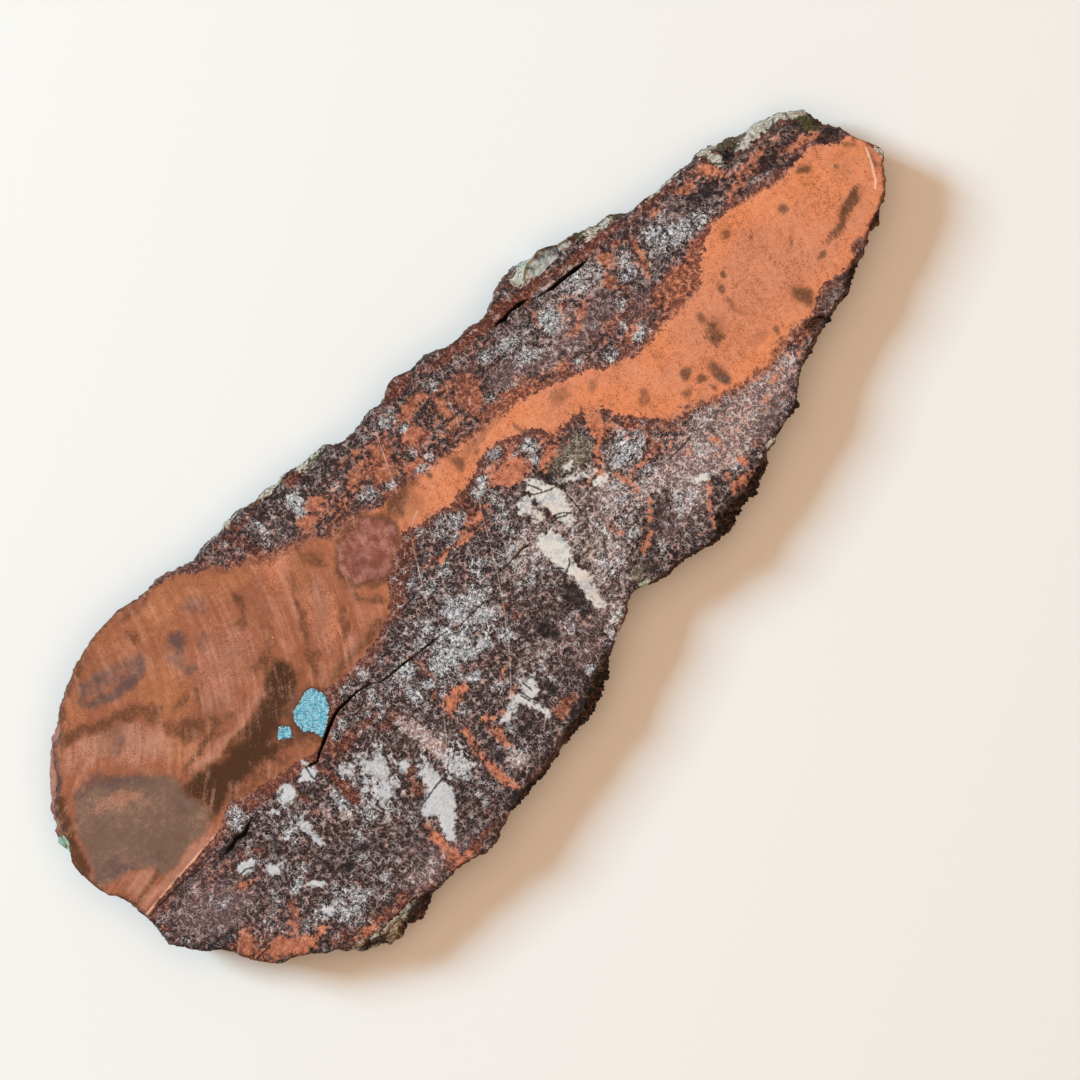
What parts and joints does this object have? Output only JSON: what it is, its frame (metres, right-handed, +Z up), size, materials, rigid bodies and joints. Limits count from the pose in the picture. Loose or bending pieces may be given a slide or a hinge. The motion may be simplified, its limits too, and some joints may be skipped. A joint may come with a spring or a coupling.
{
  "type": "native copper slab",
  "caption": "Sawn slice of native copper in matrix rock: a flat polished face of branching metal, white crystal patches and a rough natural rind round the edge.",
  "frame": {"origin": "middle of the slab's outline, on the plane that the sawn back rests on", "axes": "+X along the slab from its broad copper lobe to its narrow tip, +Z up out of the polished face"},
  "size_m": [0.2402, 0.0966, 0.012],
  "materials": {
    "copper_bearing_rock": "polished upper face of copper metal, dark red cuprite-rich rock and white crystals; sawn back; rough weathered rind"
  },
  "bodies": {
    "root": {"copper_slab": "copper_bearing_rock"}
  },
  "joints": []
}
